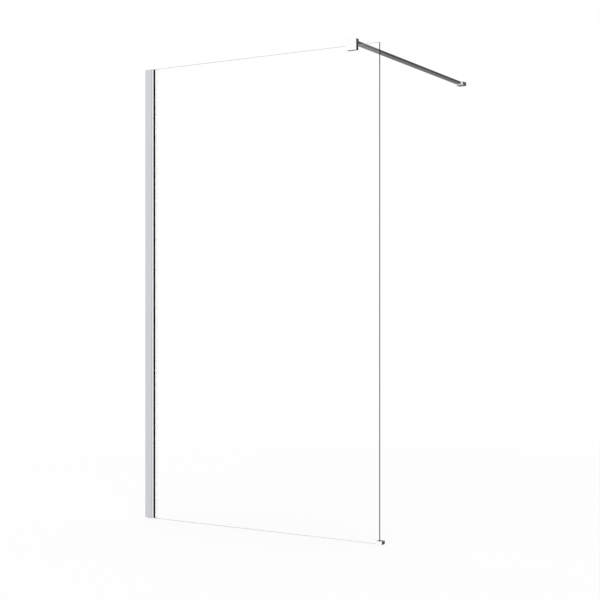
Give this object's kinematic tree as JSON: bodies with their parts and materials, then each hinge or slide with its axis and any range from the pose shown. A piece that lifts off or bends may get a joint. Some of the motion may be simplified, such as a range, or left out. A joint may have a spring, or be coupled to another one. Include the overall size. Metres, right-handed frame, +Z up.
{
  "type": "frameless shower screen",
  "caption": "Fixed clear glass walk-in shower panel with a wall profile on one side, a flat support bar from its top edge to a facing wall, and a small corner foot.",
  "frame": {"origin": "on the floor, at the face of the first wall, in the middle of the thickness of the glass", "axes": "+X along the glass away from the first wall, +Y from the glass to the second wall, +Z up"},
  "size_m": [1.178, 1.1505, 2.0265],
  "materials": {
    "profile_aluminium": "bright anodised, softly polished",
    "chrome": "polished chrome",
    "screw_steel": "plain stainless steel",
    "cap_plastic": "moulded grey plastic",
    "black_rubber": "extruded soft seal, dull",
    "clear_pad": "milky soft pad",
    "clear_glass": "clear toughened glass with polished edges"
  },
  "bodies": {
    "wall_side": {"wall_channel": "profile_aluminium", "channel_cap_top": "cap_plastic", "channel_cap_bottom": "cap_plastic", "cap_screws": "screw_steel", "profile_lock_screws": "screw_steel", "profile_lock_nuts": "screw_steel", "lock_screw_covers": "chrome"},
    "glass_screen": {"glass_profile": "profile_aluminium", "profile_end_plugs": "cap_plastic", "front_gasket": "black_rubber", "rear_gasket": "clear_pad", "glass_edge_spacers": "clear_pad", "glass_panel": "clear_glass", "foot_body": "chrome", "foot_liner": "clear_pad", "foot_grub_screw": "screw_steel", "foot_screw_cap": "chrome", "foot_base_pad": "clear_pad"},
    "support_arm": {"clamp_body": "chrome", "clamp_liner": "black_rubber", "clamp_pressure_plate": "screw_steel", "clamp_grub_screws": "screw_steel", "bar_lock_screws": "screw_steel", "support_bar": "chrome", "bar_end_plugs": "cap_plastic"},
    "wall_bracket": {"wall_sleeve": "chrome", "wall_base": "chrome", "wall_pad": "clear_pad", "bracket_grub_screws": "screw_steel"}
  },
  "joints": [
    {"name": "profile_adjust", "type": "slide", "parent": "wall_side", "child": "glass_screen", "axis": [1, 0, 0], "range_m": [-0.002, 0.013]},
    {"name": "clamp_slide", "type": "slide", "parent": "glass_screen", "child": "support_arm", "axis": [1, 0, 0], "range_m": [-0.6, 0.08]},
    {"name": "bar_reach", "type": "slide", "parent": "support_arm", "child": "wall_bracket", "axis": [0, 1, 0], "range_m": [-0.005, 0.005]}
  ]
}
